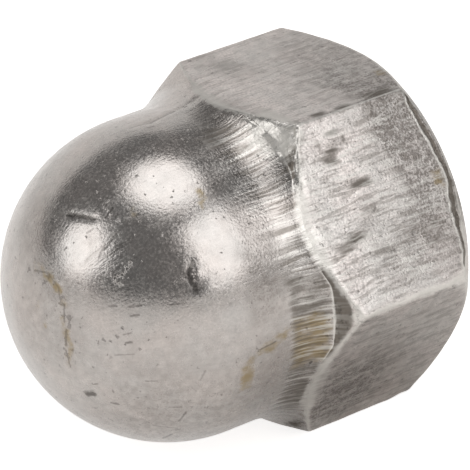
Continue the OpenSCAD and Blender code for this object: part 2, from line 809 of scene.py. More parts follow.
class Effect:
    """A shader node group, with named inputs and one named output."""

    def __init__(self, name: str, inputs: dict[str, Any], output: str, kind: str = "Float") -> None:
        """Make the group's sockets.

        Args:
            name: The group's name.
            inputs: Each input's name and starting value: a number, a point or a colour.
            output: The output's name.
            kind: What it gives: Float or Color.
        """
        self.tree = bpy.data.node_groups.new(name, "ShaderNodeTree")
        self.graph = Graph(self.tree)
        interface = self.tree.interface
        kinds = {1: "NodeSocketFloat", 3: "NodeSocketVector", 4: "NodeSocketColor"}
        for label, value in inputs.items():
            socket_type = kinds[len(value) if isinstance(value, tuple) else 1]
            socket = interface.new_socket(label, in_out="INPUT", socket_type=socket_type)
            socket.default_value = value
        interface.new_socket(output, in_out="OUTPUT", socket_type="NodeSocket" + kind)
        self.inputs = self.tree.nodes.new("NodeGroupInput").outputs
        self.exit = self.tree.nodes.new("NodeGroupOutput").inputs

    def give(self, socket: Socket) -> "Effect":
        """Join the group's output."""
        self.tree.links.new(socket, self.exit[0])
        return self

    def use(self, graph: Graph, **values: Any) -> Socket:
        """Place the group in a material.

        Args:
            graph: The material's graph.
            values: Value or socket for each input, by its name in small letters.

        Returns:
            The group's output there.
        """
        node = graph.tree.nodes.new("ShaderNodeGroup")
        node.node_tree = self.tree
        for key, value in values.items():
            graph.join(value, node.inputs[key.capitalize()])
        return node.outputs[0]


GREY: Colour = (0.5, 0.5, 0.5, 1.0)


def drag_effect() -> Effect:
    """Make drag marks: straight lines of two widths that run up the skin.

    Returns:
        The group, which gives the lines' height.
    """
    sway, finer = (0.25, 0.0, 0.0), 2.7
    effect = Effect("drag_marks", {"Course": ORIGIN, "Fineness": 4.0, "Length": 14.0}, "Height")
    graph, sockets = effect.graph, effect.inputs
    warp = graph.add("TexNoise", {"Vector": sockets["Course"], "Scale": 0.5, "Detail": 1.0})
    bent = graph.vector("MULTIPLY_ADD", warp.outputs["Color"], sway, sockets["Course"])
    place = graph.squeezed(bent, sockets["Length"], axis="Y")
    wide = graph.noise(place, sockets["Fineness"], detail=1.0)
    fine = graph.noise(place, graph.math("MULTIPLY", sockets["Fineness"], finer), detail=2.0)
    both = graph.total(wide, 0.5, fine, 0.5)
    return effect.give(graph.ramp(both, low=0.33, high=0.67))


def pit_effect() -> Effect:
    """Make pits: small ragged hollows, thinly scattered in drifts.

    Returns:
        The group, which gives a mask.
    """
    rarest, share_gain, drift_gain, edge = 0.86, 0.25, 0.3, 0.1
    effect = Effect("pits", {"Place": ORIGIN, "Fineness": 4.0, "Share": 0.3}, "Mask")
    graph, sockets = effect.graph, effect.inputs
    drift = graph.noise(sockets["Place"], fineness=0.7, detail=2.0)
    specks = graph.noise(sockets["Place"], sockets["Fineness"], detail=3.0)
    level = graph.math("MULTIPLY_ADD", drift, drift_gain, specks)
    low = graph.math("MULTIPLY_ADD", sockets["Share"], -share_gain, rarest)
    return effect.give(graph.ramp(level, low, graph.math("ADD", low, edge)))


def nick_effect() -> Effect:
    """Make one nick: a straight mark with round, ragged ends between two points.

    Returns:
        The group, which gives a mask.
    """
    least_gap, gap_spread, solid_share = 0.2, 1.6, 0.2
    inputs = {"Place": ORIGIN, "Start": ORIGIN, "Reach": UP, "Width": 0.1, "Strength": 1.0}
    effect = Effect("nick", inputs, "Mask")
    graph, sockets = effect.graph, effect.inputs
    reach, width = sockets["Reach"], sockets["Width"]
    offset = graph.vector("SUBTRACT", sockets["Place"], sockets["Start"])
    along = graph.measure("DOT_PRODUCT", offset, reach)
    whole = graph.measure("DOT_PRODUCT", reach, reach)
    share = graph.math("DIVIDE", along, whole, clamp=True)
    foot = graph.add("VectorMath", {0: reach, "Scale": share}, operation="SCALE").outputs["Vector"]
    rough = graph.noise(sockets["Place"], fineness=7.0, detail=2.0)
    ragged = graph.math("MULTIPLY_ADD", rough, gap_spread, least_gap)
    gap = graph.math("MULTIPLY", graph.measure("DISTANCE", offset, foot), ragged)
    edge = graph.math("MULTIPLY", width, solid_share)
    return effect.give(graph.ramp(gap, edge, width, bottom=sockets["Strength"], top=0.0))


def ragged_effect() -> Effect:
    """Break a soft mask up into a ragged one.

    Returns:
        The group, which gives the ragged mask.
    """
    spread = 1.4
    inputs = {"Mask": 0.0, "Place": ORIGIN, "Fineness": 2.0, "Length": 1.0}
    effect = Effect("ragged_edge", inputs, "Mask")
    graph, sockets = effect.graph, effect.inputs
    place = graph.squeezed(sockets["Place"], sockets["Length"], axis="Z")
    rough = graph.noise(place, sockets["Fineness"], detail=5.0)
    centred = graph.math("MULTIPLY_ADD", rough, spread, -spread / 2.0)
    level = graph.math("ADD", sockets["Mask"], centred)
    broken = graph.ramp(level, low=0.12, high=0.9)
    return effect.give(graph.math("MULTIPLY", broken, graph.ramp(sockets["Mask"], low=0.0, high=0.2)))


def mottle_effect() -> Effect:
    """Make the steel's faint change of colour from place to place.

    Returns:
        The group, which gives the colour.
    """
    cloud_share, speckle_share = 0.4, 0.9
    inputs = {"Place": ORIGIN, "Warm": GREY, "Cool": GREY, "Fineness": 0.4, "Spread": 0.2}
    effect = Effect("mottle", inputs, "Color", kind="Color")
    graph, sockets = effect.graph, effect.inputs
    hue_noise = graph.noise(sockets["Place"], sockets["Fineness"], detail=4.0)
    hue = graph.blend(graph.ramp(hue_noise, low=0.3, high=0.7), sockets["Cool"], sockets["Warm"])
    speckle = graph.noise(sockets["Place"], fineness=8.0, detail=3.0)
    cloud = graph.noise(sockets["Place"], fineness=1.8, detail=2.0)
    both = graph.total(cloud, cloud_share, speckle, speckle_share)
    centred = graph.math("SUBTRACT", both, (cloud_share + speckle_share) / 2.0)
    gain = graph.math("MULTIPLY_ADD", centred, sockets["Spread"], 1.0)
    grey = graph.add("CombineXYZ", {"X": gain, "Y": gain, "Z": gain}).outputs["Vector"]
    return effect.give(graph.vector("MULTIPLY", hue, grey))


@dataclass
class Effects:
    """The shader groups that the steel finishes share."""

    drag: Effect = field(default_factory=drag_effect)
    pits: Effect = field(default_factory=pit_effect)
    nick: Effect = field(default_factory=nick_effect)
    ragged: Effect = field(default_factory=ragged_effect)
    mottle: Effect = field(default_factory=mottle_effect)


@dataclass(frozen=True)
class NickLine:
    """A fine nick as the shader needs it: where it starts and how far it reaches."""

    start: Vector
    reach: Vector
    width: float
    strength: float


@dataclass(frozen=True)
class FootSeam:
    """A dirty seam above the foot of a flat, with bright metal below and above it.

    Each level is a height above the foot, in millimetres.
    """

    wander: float = 0.3
    wander_fineness: float = 1.4
    lip: tuple[float, float] = (0.08, 0.02)
    seam: tuple[float, float, float, float] = (0.1, 0.16, 0.26, 0.34)
    ridge: tuple[float, float, float, float] = (0.28, 0.36, 0.4, 0.48)

    def masks(self, graph: Graph, place: Socket) -> tuple[Socket, Socket]:
        """Read the seam off the mesh's foot_gap mask.

        Args:
            graph: The material's graph.
            place: Places in the turning frame.

        Returns:
            The masks of the dirty seam and of the bright metal.
        """
        rough = graph.noise(place, self.wander_fineness, detail=3.0)
        wander = graph.math("MULTIPLY_ADD", rough, self.wander, -self.wander / 2.0)
        foot = graph.math("ADD", graph.attribute("foot_gap"), wander)
        seam = graph.band(foot, *self.seam)
        ridge = graph.band(foot, *self.ridge)
        return seam, graph.math("MAXIMUM", ridge, graph.ramp(foot, *self.lip))


@dataclass(frozen=True)
class Layers:
    """The masks and patterns that a finish is put together from."""

    place: Socket
    drag: Socket
    rough: Socket
    lines: Socket
    pits: Socket
    marks: Socket
    dirt_and_shade: Socket
    stain: Socket
    worn: Socket
    seam: Socket
    ridge: Socket
    dulled_and_shaded: Socket
    coarse: Socket
    speckle: Socket


@dataclass(frozen=True)
class SteelFinish:
    """Bare steel as one of the nut's surfaces wears it, with some painted shade in its dirt and dull
    layers. Lengths are in millimetres.

    A cover is how much of what lies beneath a layer hides, and a matt is what it adds to roughness.
    """

    name: str
    warm: Colour = (0.506, 0.464, 0.438, 1.0)
    cool: Colour = (0.478, 0.454, 0.434, 1.0)
    dirt_and_shade: Colour = (0.14, 0.122, 0.102, 1.0)
    hollow: Colour = (0.06, 0.052, 0.045, 1.0)
    tarnish: Colour = (0.3, 0.225, 0.11, 1.0)
    dull_and_shade: Colour = (0.252, 0.228, 0.212, 1.0)
    bright: Colour = (0.68, 0.66, 0.62, 1.0)
    roughness: float = 0.225
    roughness_spread: float = 0.25
    speckle: float = 0.42
    spread: float = 1.4
    drag_depth: float = 0.012
    drag_fineness: float = 3.0
    drag_length: float = 16.0
    drag_shade: float = 0.65
    drag_shine: float = 0.55
    grain_depth: float = 0.018
    peel_depth: float = 0.004
    pit_share: float = 0.12
    pit_fineness: float = 3.5
    pit_depth: float = 0.02
    rough_pits: float = 0.5
    rough_peel: float = 5.0
    seam_depth: float = 0.03
    coarse_least: float = 0.45
    coarse_gain: float = 0.45
    speckle_fineness: float = 8.0
    blotch_fineness: float = 2.4
    cloud_fineness: float = 1.3
    peel_fineness: float = 2.6
    dark_lines: tuple[float, float] = (0.5, 0.1)
    light_lines: tuple[float, float] = (0.55, 0.95)
    dull_and_shade_shares: tuple[float, float] = (0.4, 0.6)
    dull_and_shade_range: tuple[float, float, float, float] = (0.41, 0.59, 0.4, 1.25)
    pit_cover: float = 0.5
    dirt_and_shade_cover: float = 0.9
    stain_cover: float = 0.8
    mark_cover: float = 0.78
    wear_cover: float = 0.7
    seam_cover: float = 0.85
    ridge_cover: float = 0.7
    dirt_and_shade_matt: float = 0.2
    stain_matt: float = 0.15
    wear_matt: float = 0.12
    dirt_and_shade_metal_loss: float = 0.3
    foot_seam: FootSeam = FootSeam()

    def build(self, effects: Effects, size: NutSizes, nicks: Sequence[NickLine]) -> bpy.types.Material:
        """Make the material.

        Args:
            effects: The shared groups.
            size: The nut's sizes, which place the turning frame.
            nicks: Fine nicks that this finish shows.

        Returns:
            The material.
        """
        material = bpy.data.materials.new(self.name)
        material.use_nodes = True
        graph = Graph(material.node_tree)
        layers = self.layers(graph, effects, self.turned_place(graph, size), nicks)
        sockets = {
            "Base Color": self.colour(graph, effects, layers),
            "Roughness": self.gloss(graph, layers),
            "Normal": self.relief(graph, layers),
            "Metallic": graph.math("MULTIPLY_ADD", layers.dirt_and_shade, -self.dirt_and_shade_metal_loss, 1.0),
        }
        shader = material.node_tree.nodes["Principled BSDF"]
        for name, socket in sockets.items():
            graph.join(socket, shader.inputs[name])
        return material

    def turned_place(self, graph: Graph, size: NutSizes) -> Socket:
        """Bring the object's coordinates back to the frame in which the nut is turned.

        Args:
            graph: The material's graph.
            size: The nut's sizes.

        Returns:
            Places in millimetres, with the seat at height 0 and the dome up.
        """
        turned_back = size.laid_down().inverted()
        mapping = {
            "Vector": graph.add("TexCoord").outputs["Object"],
            "Location": turned_back.to_translation(),
            "Rotation": turned_back.to_euler(),
            "Scale": (1.0 / MM,) * 3,
        }
        return graph.add("Mapping", mapping).outputs["Vector"]

    def layers(
        self, graph: Graph, effects: Effects, place: Socket, nicks: Sequence[NickLine]
    ) -> Layers:
        """Lay out the masks and patterns.

        Args:
            graph: The material's graph.
            effects: The shared groups.
            place: Places in the turning frame.
            nicks: Fine nicks that this finish shows.

        Returns:
            The layers.
        """
        drag = graph.attribute("drag")
        rough = graph.attribute("roughened")
        lines = effects.drag.use(
            graph, course=graph.course(), fineness=self.drag_fineness, length=self.drag_length
        )
        share = graph.math("MULTIPLY_ADD", rough, self.rough_pits, self.pit_share)
        pits = effects.pits.use(graph, place=place, fineness=self.pit_fineness, share=share)
        marks = graph.math("MULTIPLY", pits, self.pit_cover)
        for line in nicks:
            ends = {"start": line.start, "reach": line.reach}
            nick = effects.nick.use(graph, place=place, **ends, width=line.width, strength=line.strength)
            marks = graph.math("MAXIMUM", marks, nick)
        dirt_and_shade, stain, worn = (
            effects.ragged.use(
                graph, mask=graph.attribute(mask), place=place, fineness=fineness, length=length
            )
            for mask, fineness, length in (
                ("grime_and_shade", 2.2, 3.0),
                ("tarnish", 2.6, 1.6),
                ("edge_wear", 3.0, 1.5),
            )
        )
        seam, ridge = self.foot_seam.masks(graph, place)
        dulled_and_shaded = graph.attribute("dulled_and_shaded")
        coarse = graph.math("MULTIPLY_ADD", drag, self.coarse_gain, self.coarse_least)
        coarse = graph.math("MULTIPLY_ADD", dulled_and_shaded, self.coarse_gain, coarse)
        speckle = graph.noise(place, self.speckle_fineness, detail=3.0)
        return Layers(
            place, drag, rough, lines, pits, marks, dirt_and_shade, stain, worn, seam, ridge, dulled_and_shaded, coarse, speckle
        )

    def colour(self, graph: Graph, effects: Effects, layers: Layers) -> Socket:
        """Lay the colours over each other, from the bare steel up.

        Args:
            graph: The material's graph.
            effects: The shared groups.
            layers: The masks and patterns.

        Returns:
            The colour.
        """
        spread = graph.math("MULTIPLY", layers.coarse, self.spread)
        colour = effects.mottle.use(
            graph, place=layers.place, warm=self.warm, cool=self.cool, spread=spread
        )
        dark_line = graph.math("MULTIPLY", graph.ramp(layers.lines, *self.dark_lines), layers.drag)
        light_line = graph.math("MULTIPLY", graph.ramp(layers.lines, *self.light_lines), layers.drag)
        blotches = graph.noise(layers.place, self.blotch_fineness, detail=3.0)
        blotch_share, speckle_share = self.dull_and_shade_shares
        grainy = graph.total(blotches, blotch_share, layers.speckle, speckle_share)
        shade = graph.ramp(grainy, *self.dull_and_shade_range)
        # The dirt layer holds painted shade along the front flat's edge, and the dull layer holds painted
        # shade on the bottom flat and the dome's underside.
        coats = (
            (layers.dulled_and_shaded, shade, self.dull_and_shade),
            (layers.dirt_and_shade, self.dirt_and_shade_cover, self.dirt_and_shade),
            (layers.stain, self.stain_cover, self.tarnish),
            (dark_line, self.drag_shade, self.dirt_and_shade),
            (light_line, self.drag_shine, self.bright),
            (layers.marks, self.mark_cover, self.hollow),
            (layers.worn, self.wear_cover, self.bright),
            (layers.seam, self.seam_cover, self.dirt_and_shade),
            (layers.ridge, self.ridge_cover, self.bright),
        )
        for mask, cover, coat in coats:
            colour = graph.blend(graph.math("MULTIPLY", mask, cover), colour, coat)
        return colour

    def gloss(self, graph: Graph, layers: Layers) -> Socket:
        """Make the steel rougher and smoother from place to place.

        Args:
            graph: The material's graph.
            layers: The masks and patterns.

        Returns:
            The roughness.
        """
        cloud = graph.noise(layers.place, self.cloud_fineness, detail=4.0)
        low = self.roughness - self.roughness_spread / 2.0
        gloss = graph.math("MULTIPLY_ADD", cloud, self.roughness_spread, low)
        gloss = graph.math("SUBTRACT", gloss, self.speckle / 2.0)
        gloss = graph.math("MULTIPLY_ADD", layers.speckle, self.speckle, gloss)
        matts = (
            (layers.dirt_and_shade, self.dirt_and_shade_matt),
            (layers.stain, self.stain_matt),
            (layers.worn, self.wear_matt),
        )
        for mask, matt in matts:
            gloss = graph.math("MULTIPLY_ADD", mask, matt, gloss)
        return gloss

    def relief(self, graph: Graph, layers: Layers) -> Socket:
        """Give the steel its fine relief.

        The nicks stay out of it. A bump node works out all that feeds its height three times, and
        with the nicks the shader would be too long for the renderer.

        Args:
            graph: The material's graph.
            layers: The masks and patterns.

        Returns:
            The normal.
        """
        deep = graph.math("MULTIPLY", layers.drag, self.drag_depth)
        height = graph.math("MULTIPLY", layers.lines, deep)
        grain = graph.math("MULTIPLY", layers.coarse, self.grain_depth)
        height = graph.math("MULTIPLY_ADD", layers.speckle, grain, height)
        peel = graph.math("MULTIPLY_ADD", layers.rough, self.rough_peel * self.peel_depth, self.peel_depth)
        swell = graph.noise(layers.place, self.peel_fineness, detail=2.0)
        height = graph.math("MULTIPLY_ADD", swell, peel, height)
        height = graph.math("MULTIPLY_ADD", layers.pits, -self.pit_depth, height)
        height = graph.math("MULTIPLY_ADD", layers.seam, -self.seam_depth, height)
        return graph.add("Bump", {"Strength": 1.0, "Distance": MM, "Height": height}).outputs["Normal"]


FINISHES = {
    Finish.TUMBLED: SteelFinish("tumbled_steel"),
    Finish.DRAWN: SteelFinish(
        "drawn_steel",
        warm=(0.712, 0.654, 0.626, 1.0),
        cool=(0.672, 0.64, 0.613, 1.0),
        roughness=0.36,
        spread=1.8,
        drag_fineness=3.4,
        drag_length=9.0,
        drag_shade=0.45,
        drag_shine=0.6,
        pit_share=0.25,
    ),
    Finish.FACED: SteelFinish("faced_steel", roughness=0.34),
    Finish.THREADED: SteelFinish("threaded_steel", roughness=0.4, drag_depth=0.0),
}


# ---------------------------------------------------------------------------------------------
# The nut
# ---------------------------------------------------------------------------------------------


@dataclass
class CapNut:
    """The dressed nut: worn outside, threaded bore and steel finishes, as one closed mesh."""

    size: NutSizes
    skin: NutSkin
    effects: Effects
    thread_fade_start_z: float = 14.2
    thread_fade_end_z: float = 15.6
    thread_cut_z: float = 16.0
    thread_overrun: float = 1.1
    root_half: float = 1.0 / 16.0
    flank: float = 5.0 / 16.0
    merge_gap: float = 1e-4
    cut_gap: float = 1e-5
    rim_slack: float = 0.01
    gather_rows: int = 10
    sharp_angle_deg: float = 32.0
    bore_sharp_angle_deg: float = 14.0
    nick_spacing: float = 50.0
    ragged: Unevenness = Unevenness(0.35, 2.7)
    ragged_width: float = 0.5
    ragged_depth: float = 0.6
    least_drag: float = 0.06
    flat_drag: float = 0.35
    dull_and_shade_worn_off: float = 0.7
    seam_lift: float = 0.4
    grimy_and_shaded: tuple[Patch, ...] = (
        # Most of these patches are dirt. The first six also paint shade into the colour: a dark line
        # beside the corner at 331 degrees and along the crevice where the front flat meets the upper
        # chamfer.
        Patch(330.9, 8.2, 0.35, 0.7, 0.65),
        Patch(331.3, 6.5, 0.3, 0.55, 0.8),
        Patch(331.2, 5.0, 0.3, 0.55, 0.75),
        Patch(331.6, 2.6, 0.4, 1.0, 0.85),
        Patch(325.0, 8.75, 0.8, 0.4, 0.9),
        Patch(319.5, 9.1, 0.9, 0.2, 0.7),
        Patch(325.2, 6.3, 0.16, 0.5, 0.65),
        Patch(323.0, 7.25, 0.3, 0.16, 0.6),
        Patch(320.6, 6.6, 0.16, 0.5, 0.6),
        Patch(322.6, 5.75, 0.3, 0.16, 0.6),
        Patch(317.8, 6.85, 0.3, 0.6, 0.7),
        Patch(308.0, 5.75, 0.22, 0.7, 1.2, 2.4),
        Patch(298.7, 5.4, 0.22, 1.1, 0.7),
        Patch(292.9, 6.75, 0.25, 0.6, 0.75),
        Patch(285.6, 5.5, 0.25, 0.9, 0.5),
        Patch(290.5, 7.7, 0.5, 1.3, 0.5),
        Patch(281.8, 7.0, 0.4, 1.5, 0.35),
        Patch(287.0, 2.0, 1.6, 1.2, 0.3),
        Patch(257.0, 10.25, 4.4, 1.15, 0.5, 8.0),
        Patch(292.0, 10.4, 1.6, 1.2, 0.35),
        Patch(230.0, 10.0, 2.0, 1.0, 0.4),
        Patch(211.0, 8.7, 0.8, 0.25, 0.9),
        Patch(344.0, 11.2, 1.8, 1.3, 0.4),
        Patch(320.0, 20.3, 1.6, 1.2, 0.15),
    )
    dulled_and_shaded: tuple[Patch, ...] = (
        Patch(304.0, 1.1, 5.2, 2.5, 0.85, 4.0),
        Patch(325.0, 2.8, 1.5, 1.5, 0.45),
        Patch(282.0, 4.6, 1.7, 1.8, 0.55),
        Patch(298.0, 5.7, 1.0, 0.8, 0.35),
        Patch(323.0, 10.2, 2.4, 1.0, 0.5),
        Patch(350.0, 1.0, 6.0, 3.6, 0.65),
        Patch(27.0, 7.1, 1.6, 1.0, 0.35),
        Patch(13.5, 6.2, 1.3, 0.9, 0.3),
        Patch(345.0, 3.9, 1.6, 1.2, 0.3),
        Patch(10.0, 20.0, 2.2, 1.2, 0.4),
        # Painted shade: this patch and the next two darken the bottom flat and the dome's underside, where
        # they mirror the shaded floor under the nut. The other patches are dull steel.
        Patch(240.0, 5.0, 5.2, 5.6, 0.3, 6.0),
        Patch(227.0, 7.0, 3.2, 2.8, 0.65),
        Patch(235.0, 15.5, 5.2, 4.2, 0.5),
        Patch(300.0, 21.4, 3.6, 0.7, 0.35),
        Patch(239.0, 19.0, 3.2, 1.8, 0.2),
        Patch(270.0, 9.0, 1.3, 0.5, 0.6),
        Patch(350.0, 10.2, 1.8, 1.4, 0.6),
        Patch(291.0, 12.7, 2.4, 1.2, 0.5),
        Patch(285.0, 12.5, 2.4, 1.4, 0.2, 4.0),
    )
    soiled_chamfer: Patch = Patch(270.0, 9.05, 3.2, 0.55, 1.3, 6.0)
    soiled_foot: tuple[Patch, ...] = (
        Patch(293.0, 0.3, 1.4, 0.4, 0.5),
        Patch(322.0, 0.6, 2.2, 0.5, 0.3),
    )
    seamed_foot: Patch = Patch(301.0, 1.0, 5.05, 3.0, 1.0, 12.0)
    broad_foot: tuple[Patch, ...] = (
        Patch(289.0, 0.3, 1.1, 1.0, 1.3),
        Patch(317.0, 0.3, 2.2, 1.0, 0.55),
    )
    tarnished: tuple[Patch, ...] = (
        Patch(262.5, 10.3, 1.7, 1.1, 0.7, 6.0),
        Patch(265.0, 13.0, 0.35, 0.7, 0.7),
        Patch(268.0, 12.0, 0.4, 0.5, 0.6),
        Patch(256.5, 14.1, 1.0, 0.4, 0.7),
        Patch(324.9, 14.0, 0.42, 0.24, 0.8),
        Patch(320.0, 14.36, 0.4, 0.2, 0.6),
        Patch(330.4, 17.28, 0.35, 0.25, 0.45),
        Patch(341.4, 0.95, 0.5, 0.4, 0.5),
        Patch(300.8, 1.0, 0.5, 0.4, 0.6),
        Patch(331.0, 9.3, 0.5, 0.3, 0.3),
        Patch(350.0, 21.03, 0.9, 0.1, 0.45),
        Patch(333.0, 20.96, 0.8, 0.1, 0.45),
        Patch(318.0, 21.02, 0.8, 0.1, 0.45),
        Patch(332.7, 21.5, 0.25, 0.05, 0.4),
        Patch(296.2, 21.55, 0.25, 0.05, 0.4),
        Patch(290.0, 21.18, 1.0, 0.1, 0.4),
        Patch(262.0, 21.18, 0.9, 0.1, 0.4),
    )
    dragged: tuple[Patch, ...] = (
        Patch(257.0, 10.25, 5.2, 1.15, 0.85, 8.0),
        Patch(300.0, 9.8, 5.5, 1.7, 0.8),
        Patch(325.0, 10.3, 3.4, 2.0, 1.0),
        Patch(318.0, 18.8, 1.6, 1.1, 0.35),
        Patch(350.0, 10.3, 3.0, 1.6, 0.3),
        Patch(334.0, 8.7, 1.6, 0.8, 0.9, 6.0),
        Patch(225.0, 10.3, 3.0, 1.6, 0.5),
    )
    scraped_flat: tuple[Patch, ...] = (
        Patch(300.0, 4.5, 5.2, 7.0, 0.65, 8.0),
        Patch(304.0, 0.9, 5.2, 2.3, -0.45, 4.0),
        Patch(240.0, 4.5, 5.2, 7.0, 0.3, 8.0),
        Patch(0.0, 4.5, 5.2, 7.0, 0.2, 8.0),
    )
    roughened: tuple[Patch, ...] = (
        Patch(228.0, 16.5, 4.0, 3.4, 0.18),
        Patch(239.0, 18.8, 3.0, 2.0, 0.3),
        Patch(252.0, 13.2, 3.0, 3.0, 0.2),
        Patch(314.0, 18.9, 1.0, 0.7, 0.8),
        Patch(298.5, 16.2, 0.7, 0.4, 0.7),
        Patch(340.0, 18.0, 1.1, 0.6, 0.6),
        Patch(333.0, 8.8, 1.6, 0.7, 0.2),
        Patch(270.0, 8.6, 1.6, 0.8, 0.9),
        Patch(345.0, 21.06, 1.8, 0.2, 0.7),
        Patch(305.0, 21.12, 1.8, 0.2, 0.9),
        Patch(265.0, 21.18, 1.8, 0.2, 0.9),
    )
    scuffed: tuple[Patch, ...] = (
        Patch(334.5, 8.7, 1.5, 0.8, 1.6),
        Patch(334.0, 10.0, 1.0, 0.7, 0.5),
        Patch(352.0, 19.0, 1.0, 0.4, 0.3),
        Patch(269.5, 8.25, 0.5, 0.3, 0.8),
    )
    burrs: tuple[Patch, ...] = (
        Patch(270.0, 9.14, 2.7, 1.0, 0.05, 8.0),
        Patch(331.0, 9.14, 2.6, 1.0, 0.035, 8.0),
        Patch(30.0, 9.14, 2.2, 1.0, 0.02, 8.0),
    )
    pressed: tuple[Dent, ...] = (
        Dent((303.7, 16.0), (299.9, 16.4), 0.28, 0.018, 0.4),
        Dent((299.9, 16.4), (293.7, 16.2), 0.3, 0.022, 0.4),
        Dent((295.5, 15.84), (293.5, 15.95), 0.24, 0.015, 0.4),
        Dent((352.6, 19.28), (338.8, 18.76), 0.22, 0.022, 0.2),
        Dent((368.0, 21.06), (310.0, 21.08), 0.22, 0.012, 0.5),
        Dent((310.0, 21.08), (248.0, 21.18), 0.22, 0.015, 0.5),
        Dent((6.9, 9.7), (6.6, 11.6), 0.26, 0.025, 0.6),
        Dent((6.6, 11.6), (4.2, 13.1), 0.26, 0.025, 0.6),
        Dent((4.2, 13.1), (6.7, 14.1), 0.25, 0.015, 0.6),
        Dent((340.0, 8.85), (332.0, 8.6), 0.4, -0.035, 0.5),
        Dent((329.6, 8.3), (324.4, 8.7), 0.22, 0.12, 0.2),
        Dent((324.4, 8.7), (318.8, 9.0), 0.2, 0.08, 0.2),
        Dent((284.4, 11.0), (263.3, 11.5), 0.16, 0.02),
        Dent((273.5, 7.7), (273.6, 2.2), 0.14, -0.03),
        Dent((210.0, 8.7), (214.0, 8.6), 0.25, 0.12),
    )
    nicks: tuple[Nick, ...] = (
        Nick((352.6, 19.28), (339.4, 18.76), 0.21, 1.0),
        Nick((297.9, 19.76), (296.8, 19.54), 0.09, 0.6),
        Nick((294.7, 19.10), (294.3, 18.68), 0.1, 0.6),
        Nick((290.5, 19.16), (290.2, 18.89), 0.1, 0.7),
        Nick((281.6, 19.61), (282.3, 19.32), 0.09, 0.6),
        Nick((277.2, 19.52), (277.6, 19.34), 0.1, 0.7),
        Nick((269.8, 19.96), (271.2, 19.25), 0.06, 0.4),
        Nick((256.7, 18.87), (257.5, 18.41), 0.06, 0.5),
        Nick((291.2, 17.55), (290.5, 16.94), 0.07, 0.6),
        Nick((309.9, 21.04), (295.0, 21.16), 0.09, 0.6),
        Nick((287.0, 21.21), (270.4, 21.22), 0.12, 0.6),
        Nick((263.9, 21.24), (245.7, 21.14), 0.08, 0.6),
        Nick((229.6, 20.5), (233.0, 20.36), 0.3, 1.0),
        Nick((358.0, 21.1), (342.0, 20.95), 0.08, 0.5),
        Nick((341.8, 20.95), (325.1, 20.97), 0.07, 0.4),
        Nick((325.1, 20.97), (310.8, 21.08), 0.09, 0.4),
        Nick((343.4, 18.14), (341.9, 18.64), 0.07, 0.6),
        Nick((340.8, 17.85), (339.4, 18.33), 0.08, 0.6),
        Nick((337.4, 17.88), (336.2, 18.34), 0.08, 0.7),
        Nick((333.8, 17.88), (332.2, 18.29), 0.07, 0.5),
        Nick((326.3, 18.97), (322.8, 19.45), 0.1, 0.6),
        Nick((326.0, 18.61), (324.3, 19.12), 0.1, 0.7),
        Nick((327.4, 18.24), (325.9, 18.86), 0.09, 0.6),
        Nick((336.1, 19.01), (336.9, 19.27), 0.08, 0.5),
        Nick((321.3, 18.63), (320.2, 19.04), 0.09, 0.6),
        Nick((258.2, 16.56), (262.1, 16.35), 0.1, 0.4),
        Nick((234.4, 16.98), (240.9, 16.87), 0.1, 0.6),
        Nick((227.9, 17.94), (228.7, 16.84), 0.07, 0.5),
        Nick((215.9, 16.88), (222.3, 16.78), 0.14, 0.7),
        Nick((243.2, 17.66), (243.9, 17.14), 0.08, 0.6),
        Nick((234.0, 19.76), (235.5, 19.58), 0.12, 0.6),
        Nick((241.7, 20.52), (244.5, 20.36), 0.07, 0.6),
        Nick((252.4, 10.16), (252.8, 10.1), 0.12, 1.0),
        Nick((265.8, 13.47), (266.5, 12.47), 0.08, 0.6),
        Nick((341.0, 8.95), (336.5, 8.5), 0.09, 0.6),
        Nick((338.6, 9.5), (334.0, 8.75), 0.08, 0.7),
        Nick((334.4, 9.2), (331.2, 8.5), 0.1, 0.7),
        Nick((7.2, 9.6), (6.6, 11.6), 0.12, 0.7),
        Nick((6.6, 11.6), (4.2, 13.1), 0.12, 0.6),
        Nick((4.2, 13.1), (6.7, 14.1), 0.1, 0.4),
        Nick((303.7, 16.0), (299.9, 16.4), 0.2, 0.7),
        Nick((299.9, 16.4), (293.7, 16.2), 0.26, 0.85),
    )

    def section(self, points: np.ndarray) -> bmesh.types.BMesh:
        """Draw a section that starts at a corner of the hexagon, and number its points as rows.

        Args:
            points: Distance from the axis and height of each point.

        Returns:
            A mesh that holds the section.
        """
        mesh = bmesh.new()
        layer = mesh.verts.layers.int.new("row")
        across, along = math.cos(CORNER_ANGLE), math.sin(CORNER_ANGLE)
        places = [(radius * across, radius * along, height) for radius, height in points]
        for row, vertex in enumerate(chain(mesh, places)):
            vertex[layer] = row
        return mesh

    def outside(self) -> bmesh.types.BMesh:
        """Spin the outside, row by row, from the seat to the tip.

        Returns:
            The outside's mesh, still with sharp creases.
        """
        count = sum(self.skin.grid.rows) + 1
        rows = np.arange(count, dtype=float)
        radius, height = self.skin.place(rows, np.full(count, CORNER_ANGLE))
        radius[-1] = 0.0
        mesh = self.section(np.column_stack((radius, height)))
        spin_once(mesh, self.skin.grid.columns, self.merge_gap)
        return mesh

    def thread_reach(self, from_root: float) -> float:
        """Give the thread's distance from the axis.

        Args:
            from_root: Distance along the axis from the middle of the groove, as a share of the pitch.

        Returns:
            The distance from the axis.
        """
        flank = min(max((from_root - self.root_half) / self.flank, 0.0), 1.0)
        return self.size.thread_r + flank * (self.size.bore_r - self.size.thread_r)

